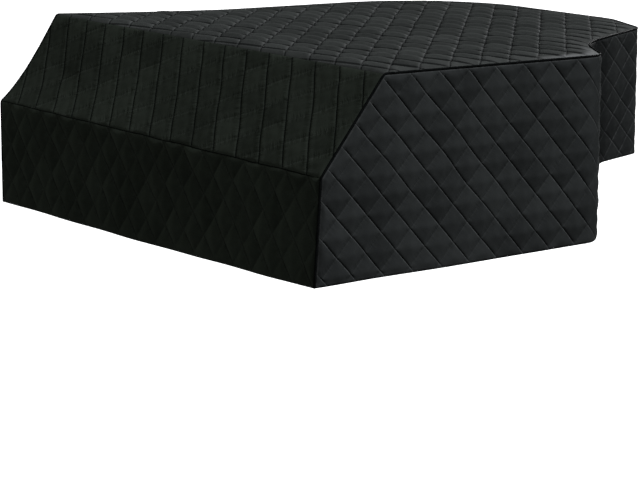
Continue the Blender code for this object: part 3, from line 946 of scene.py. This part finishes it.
# Look of each panel: cloth colour, set lighter, darker or tinted per panel as painted light and shade;
# then for the two families of stitch lines how much painted shade lies in the lines, how much
# painted highlight lies on the rims beside them and how wide both are; how strong the painted shadow
# in the seam is and how much painted highlight lies on the cloth beside the seam.
PANEL_LOOKS = {
    "top_panel": ((0.0070, 0.0075, 0.0072), (0.80, 0.78), (0.35, 0.30), (1.6, 3.0), 0.0, 0.6),
    "slope_panel": ((0.0049, 0.0058, 0.0047), (0.80, 0.00), (0.00, 0.08), (1.7, 1.3), 0.9, 0.0),
    "front_skirt": ((0.0049, 0.0059, 0.0047), (0.12, 0.00), (0.12, 0.00), (1.6, 1.6), 0.9, 0.0),
    "right_skirt": ((0.0049, 0.0053, 0.0052), (0.60, 0.00), (0.65, 0.08), (0.9, 1.0), 0.0, 0.9),
    "curved_skirt": ((0.0037, 0.0040, 0.0039), (0.50, 0.40), (0.55, 0.45), (1.5, 1.4), 0.0, 0.5),
    "tail_skirt": ((0.0046, 0.0049, 0.0048), (0.55, 0.10), (0.45, 0.15), (1.0, 1.0), 0.0, 0.4),
    "left_skirt": ((0.0046, 0.0049, 0.0048), (0.55, 0.10), (0.45, 0.15), (1.0, 1.0), 0.0, 0.4),
}
TIP_LIP = (0.735, 0.045)
LIP_REACH = 0.200
TINT_SPREAD = 0.22
SHADED_SIDE = 0.12
PUCKER_HEIGHTS = {"slope_panel": 0.0050}
PUCKER_HEIGHT = 0.0022


def weave(nodes, coordinates, threads):
    """Fine plain weave as a height: crossing threads, each one over and under."""
    u, v = nodes.split(coordinates)
    across = nodes.math("SINE", nodes.math("MULTIPLY", u, threads * math.pi))
    up = nodes.math("SINE", nodes.math("MULTIPLY", v, threads * math.pi))
    return nodes.math("MULTIPLY", across, up)


def stitch_line(nodes, across, along):
    """Thread of one family of stitch lines as a height between 0 and 1, in dashes."""
    off = nodes.math("ABSOLUTE", nodes.math("SUBTRACT", nodes.math("FRACT", nodes.math("ADD", across, 0.5)), 0.5))
    line = nodes.ramp(off, THREAD_HALF, 0.0)
    dash = nodes.math("FRACT", nodes.math("MULTIPLY", along, STITCHES_PER_CELL))
    dash = nodes.ramp(nodes.math("ABSOLUTE", nodes.math("SUBTRACT", dash, 0.5)), 0.46, 0.30)
    return nodes.math("MULTIPLY", line, dash), off


def line_sides(nodes, across, width, shift):
    """How far a point is in the painted shade of a stitch line's groove, and in the painted highlight on the rim
    beside it.
    """
    past = nodes.math("SUBTRACT", nodes.math("FRACT", nodes.math("ADD", across, 0.5 - shift)), 0.5)
    half = GROOVE_HALF * width
    groove = nodes.ramp(nodes.math("ABSOLUTE", past), half, 0.3 * half)
    before = nodes.math("MULTIPLY", past, -1.0)
    near, middle, far = (part * width for part in RIM_HIGHLIGHT_BAND)
    rim = nodes.math("MULTIPLY", nodes.ramp(before, near, middle), nodes.ramp(before, far, middle))
    return groove, rim


def puckers(nodes, across, along, off):
    """Small wrinkles that run out from a stitch line."""
    drawn = nodes.join(nodes.math("MULTIPLY", along, 7.0), nodes.math("MULTIPLY", across, 1.6))
    wrinkle = nodes.noise(drawn, 1.0, 2.0, 0.55)
    return nodes.math("MULTIPLY", wrinkle, nodes.ramp(off, 0.30, 0.02))


def quilted_look(name):
    cloth, grooves, rim_highlights, widths, seam_shadow_share, seam_highlight_share = PANEL_LOOKS[name]
    nodes = Nodes(name + "_look")
    flat, stitch = nodes.uv("cloth"), nodes.uv("stitch")
    first, second = nodes.split(stitch)
    thread1, off1 = stitch_line(nodes, first, second)
    thread2, off2 = stitch_line(nodes, second, first)
    thread = nodes.math("MAXIMUM", thread1, thread2)
    wrinkles = nodes.math("ADD", puckers(nodes, first, second, off1), puckers(nodes, second, first, off2))
    patches = nodes.noise(flat, 5.5, 3.0, 0.55)
    cloudy = nodes.noise(flat, 60.0, 3.0, 0.6)
    grain = nodes.noise(flat, 900.0, 2.0, 0.6)
    tint = nodes.math("ADD", nodes.math("MULTIPLY", patches, 0.5), nodes.math("MULTIPLY", cloudy, 0.3))
    cell = nodes.join(nodes.math("FLOOR", first), nodes.math("FLOOR", second))
    chance = nodes.add("ShaderNodeTexWhiteNoise", {"noise_dimensions": "2D"}, Vector=cell).outputs["Value"]
    tint = nodes.math("ADD", tint, nodes.math("MULTIPLY", chance, 0.2))
    tints = [tuple(part * scale for part in cloth) + (1.0,) for scale in (1.0 - TINT_SPREAD, 1.0 + TINT_SPREAD)]
    color = nodes.mix_color(nodes.ramp(tint, 0.30, 0.70), tints[0], tints[1])
    color = nodes.mix_color(nodes.math("MULTIPLY", thread, 0.5), color, THREAD_COLOR)
    # Cloudy noise that breaks up the painted highlights on the rims and beside the seams.
    highlight_breaks = nodes.ramp(cloudy, 0.36, 0.60, 0.35, 1.0)
    # Painted shade in the grooves of both families of stitch lines and painted highlight on the rims beside them.
    for index, number in ((1, second), (0, first)):
        dark, light = grooves[index], rim_highlights[index]
        # On the top, the second family's painted shade is moved onto the shaded side of each pillow.
        shift = SHADED_SIDE if name == "top_panel" and index == 1 else 0.0
        groove, rim = line_sides(nodes, number, widths[index], shift)
        color = nodes.mix_color(nodes.math("MULTIPLY", groove, dark), color, PAINTED_SHADE_COLOR)
        rim = nodes.math("MULTIPLY", rim, highlight_breaks)
        color = nodes.mix_color(nodes.math("MULTIPLY", rim, light), color, RIM_HIGHLIGHT_COLOR)
    seam = nodes.attribute("seam")
    # Painted highlight in a narrow band beside the seams, where the rolled edges catch light.
    if seam_highlight_share:
        seam_highlight = nodes.math("MULTIPLY", nodes.ramp(seam, 0.0042, 0.0), highlight_breaks)
        color = nodes.mix_color(nodes.math("MULTIPLY", seam_highlight, seam_highlight_share), color, SEAM_HIGHLIGHT_COLOR)
    # Painted shadow in the seam between slope and front, fading out toward the side edges.
    if seam_shadow_share:
        across = nodes.ramp(nodes.split(flat)[0], HALF_WIDTH - 0.015, HALF_WIDTH - 0.055, 0.0, seam_shadow_share)
        shadow = nodes.math("MULTIPLY", nodes.ramp(seam, SEAM_SHADOW, 0.3 * SEAM_SHADOW), across)
        color = nodes.mix_color(shadow, color, PAINTED_SHADE_COLOR)
    # Painted shadow: the curved wall is darkened within about 0.3 m of the tip seam, fading out by 0.48 m.
    if name == "curved_skirt":
        along = nodes.split(flat)[0]
        notch_shadow = nodes.ramp(along, TIP_SEAM + 0.48, TIP_SEAM + 0.30, 0.0, 0.80)
        color = nodes.mix_color(notch_shadow, color, NOTCH_SHADOW_COLOR)
    # Painted highlight: the top's edge near the tip is made lighter, where it catches light.
    if name == "top_panel":
        away = nodes.add("ShaderNodeVectorMath", {"operation": "DISTANCE"})
        nodes.feed(away.inputs[0], flat)
        nodes.feed(away.inputs[1], TIP_LIP + (0.0,))
        lip_highlight = nodes.ramp(away.outputs["Value"], LIP_REACH, 0.2 * LIP_REACH)
        lip_highlight = nodes.math("MULTIPLY", lip_highlight, nodes.ramp(seam, 0.0380, 0.0120))
        color = nodes.mix_color(lip_highlight, color, LIP_HIGHLIGHT_COLOR)
    nodes.feed(nodes.shader.inputs["Base Color"], color)
    rough = nodes.math("ADD", nodes.math("MULTIPLY", cloudy, 0.16), nodes.math("MULTIPLY", grain, 0.10))
    nodes.feed(nodes.shader.inputs["Roughness"], nodes.math("ADD", rough, 0.42))
    nodes.shader.inputs["Specular IOR Level"].default_value = 0.0002
    normal = nodes.bump(wrinkles, PUCKER_HEIGHTS.get(name, PUCKER_HEIGHT), 0.8)
    hem = nodes.attribute("hem")
    hem_line = nodes.ramp(nodes.math("ABSOLUTE", nodes.math("SUBTRACT", hem, HEM_WIDTH)), 0.0008, 0.0)
    stitches = nodes.math("MAXIMUM", thread, nodes.math("MULTIPLY", hem_line, 0.6))
    normal = nodes.bump(stitches, 0.0006, 0.8, normal)
    normal = nodes.bump(weave(nodes, flat, 1600.0), 0.00006, 0.35, normal)
    normal = nodes.bump(grain, 0.0002, 0.30, normal)
    nodes.feed(nodes.shader.inputs["Normal"], normal)
    return nodes.material


def lining_look():
    nodes = Nodes("lining_look")
    flat = nodes.uv("cloth")
    cloudy = nodes.noise(flat, 30.0, 3.0, 0.6)
    color = nodes.mix_color(nodes.ramp(cloudy, 0.35, 0.68), (0.0040, 0.0042, 0.0043, 1.0), (0.0070, 0.0072, 0.0074, 1.0))
    nodes.feed(nodes.shader.inputs["Base Color"], color)
    nodes.feed(nodes.shader.inputs["Roughness"], nodes.math("ADD", nodes.math("MULTIPLY", cloudy, 0.15), 0.68))
    nodes.shader.inputs["Specular IOR Level"].default_value = 0.05
    normal = nodes.bump(weave(nodes, flat, 900.0), 0.00012, 0.5)
    nodes.feed(nodes.shader.inputs["Normal"], normal)
    return nodes.material


def piping_look():
    nodes = Nodes("piping_cloth_look")
    along, round_share = nodes.split(nodes.uv("cloth"))
    slanted = nodes.math("ADD", nodes.math("MULTIPLY", along, 420.0), nodes.math("MULTIPLY", round_share, 6.0))
    ribs = nodes.math("SINE", nodes.math("MULTIPLY", slanted, 2.0 * math.pi))
    wide = nodes.join(nodes.math("MULTIPLY", along, 60.0), nodes.math("MULTIPLY", round_share, 2.0))
    cloudy = nodes.noise(wide, 1.0, 3.0, 0.6)
    color = nodes.mix_color(nodes.ramp(cloudy, 0.35, 0.68), (0.0007, 0.0008, 0.0008, 1.0), (0.0013, 0.0014, 0.0014, 1.0))
    nodes.feed(nodes.shader.inputs["Base Color"], color)
    nodes.feed(nodes.shader.inputs["Roughness"], nodes.math("ADD", nodes.math("MULTIPLY", cloudy, 0.18), 0.38))
    nodes.shader.inputs["Specular IOR Level"].default_value = 0.0002
    normal = nodes.bump(cloudy, 0.0008, 0.5)
    normal = nodes.bump(ribs, 0.0001, 0.5, normal)
    nodes.feed(nodes.shader.inputs["Normal"], normal)
    return nodes.material


# The pieces, each in the place of its CAD solid.

def build_pieces():
    lining = lining_look()
    made = {}
    for name, panel in PANELS.items():
        sheet, area, size = sheet_object(name, panel, (quilted_look(name), lining))
        sheet.name = name + "_cloth"
        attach(sheet, "root")
        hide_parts(name)
        made[name] = sheet
    cord = piping_object(piping_look())
    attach(cord, "root")
    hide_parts("piping")
    return made, cord


build_pieces()


# Studio: pale floor and backdrop, soft lights, camera at the photograph's angle.

FLOOR_Z = -INNER_TOP_HEIGHT
FLOOR_GLOW = 0.90
WORLD_LIGHT = 0.35
SUNS = (
    ("key", (0.56, 0.30, 0.77), 15.0, 8.0, (0.97, 0.99, 1.04)),
    ("back", (-0.46, 0.84, 0.30), 17.0, 9.0, (1.00, 1.00, 1.00)),
    ("fill", (-0.75, -0.40, 0.52), 3.0, 14.0, (0.98, 1.02, 0.94)),
)
CAMERA_PLACE = (5.09978, -3.87992, 0.65648)
CAMERA_YAW = -0.94733
CAMERA_PITCH = -0.19123
CAMERA_ROLL = 0.00223
CAMERA_LENS = 136.04


def floor():
    nodes = Nodes("floor_look")
    cloudy = nodes.noise(nodes.add("ShaderNodeTexCoord").outputs["Object"], 0.8, 2.0, 0.5)
    color = nodes.mix_color(cloudy, (0.060, 0.060, 0.060, 1.0), (0.066, 0.066, 0.066, 1.0))
    nodes.feed(nodes.shader.inputs["Base Color"], color)
    nodes.shader.inputs["Roughness"].default_value = 0.75
    nodes.shader.inputs["Specular IOR Level"].default_value = 0.2
    nodes.shader.inputs["Emission Color"].default_value = (1.0, 1.0, 1.0, 1.0)
    nodes.shader.inputs["Emission Strength"].default_value = FLOOR_GLOW
    data = bpy.data.meshes.new("floor")
    reach = 30.0
    data.from_pydata([(-reach, -reach, FLOOR_Z), (reach, -reach, FLOOR_Z), (reach, reach, FLOOR_Z), (-reach, reach, FLOOR_Z)],
                     [], [(0, 1, 2, 3)])
    data.materials.append(nodes.material)
    made = bpy.data.objects.new("floor", data)
    bpy.context.scene.collection.objects.link(made)


def studio():
    floor()
    world = bpy.data.worlds.new("studio")
    world.use_nodes = True
    background = world.node_tree.nodes["Background"]
    background.inputs["Color"].default_value = (1.0, 1.0, 1.0, 1.0)
    background.inputs["Strength"].default_value = WORLD_LIGHT
    bpy.context.scene.world = world
    for name, direction, strength, spread, color in SUNS:
        data = bpy.data.lights.new(name, "SUN")
        data.energy = strength
        data.angle = math.radians(spread)
        data.color = color
        made = bpy.data.objects.new(name, data)
        made.rotation_euler = Vector(direction).to_track_quat("Z", "Y").to_euler()
        bpy.context.scene.collection.objects.link(made)
    bpy.context.scene.view_settings.view_transform = "Standard"


def camera():
    yaw, pitch = CAMERA_YAW, CAMERA_PITCH
    forward = Vector((math.cos(pitch) * math.sin(yaw), math.cos(pitch) * math.cos(yaw), math.sin(pitch)))
    right = forward.cross(Vector((0.0, 0.0, 1.0))).normalized()
    up = right.cross(forward)
    cosine, sine = math.cos(CAMERA_ROLL), math.sin(CAMERA_ROLL)
    axis_x = right * cosine + up * sine
    axis_y = up * cosine - right * sine
    data = bpy.data.cameras.new("photo")
    data.sensor_width = 36.0
    data.lens = CAMERA_LENS
    data.clip_end = 100.0
    made = bpy.data.objects.new("photo", data)
    turn = Matrix((axis_x, axis_y, -forward)).transposed().to_4x4()
    made.matrix_world = Matrix.Translation(CAMERA_PLACE) @ turn
    bpy.context.scene.collection.objects.link(made)
    bpy.context.scene.camera = made


studio()
camera()
